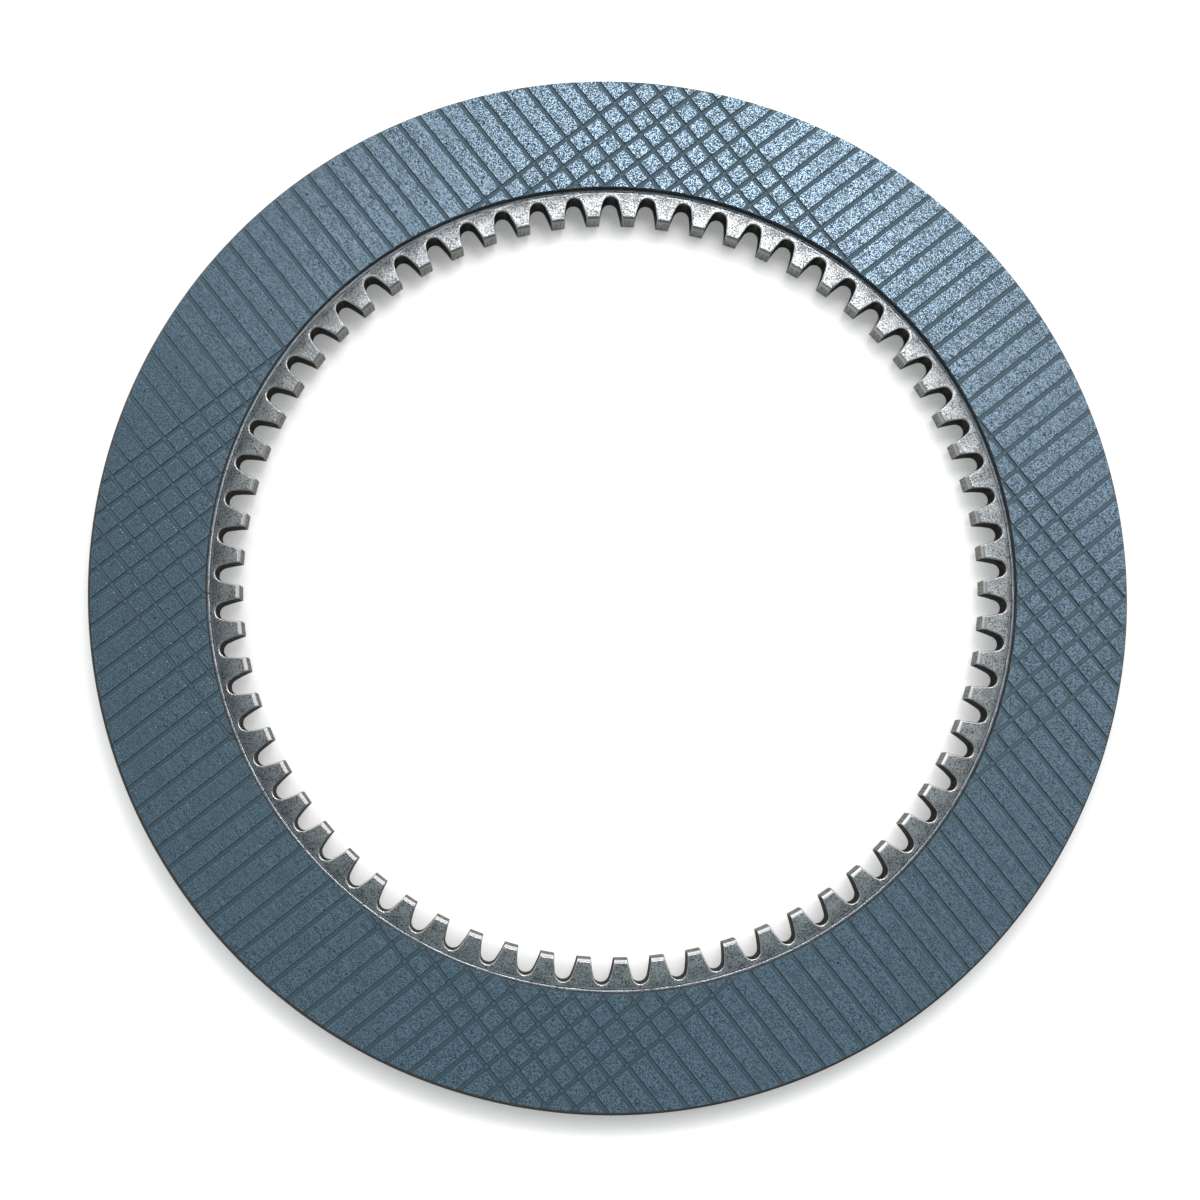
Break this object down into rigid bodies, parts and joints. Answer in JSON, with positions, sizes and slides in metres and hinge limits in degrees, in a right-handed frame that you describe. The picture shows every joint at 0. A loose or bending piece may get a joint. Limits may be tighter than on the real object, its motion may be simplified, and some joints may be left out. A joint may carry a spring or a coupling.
{
  "type": "wet clutch friction disc",
  "caption": "Flat annular clutch disc: a steel core plate with a toothed bore and crosswise grooved friction facings on both sides.",
  "frame": {"origin": "middle of the disc: on its axis, halfway through the thickness of the core plate", "axes": "+Z along the disc's axis, out of the front facing; the two sets of grooves run at 45 and 135 degrees to +X, and a gap between two teeth lies just clockwise of +X"},
  "size_m": [0.176, 0.176, 0.0074],
  "materials": {
    "core_steel": "ground flat, edges tumbled smooth",
    "friction_composite": "matte blue-grey friction composite with fine fibres and pores"
  },
  "bodies": {
    "root": {"core_plate": "core_steel", "front_facing": "friction_composite", "back_facing": "friction_composite"}
  },
  "joints": []
}
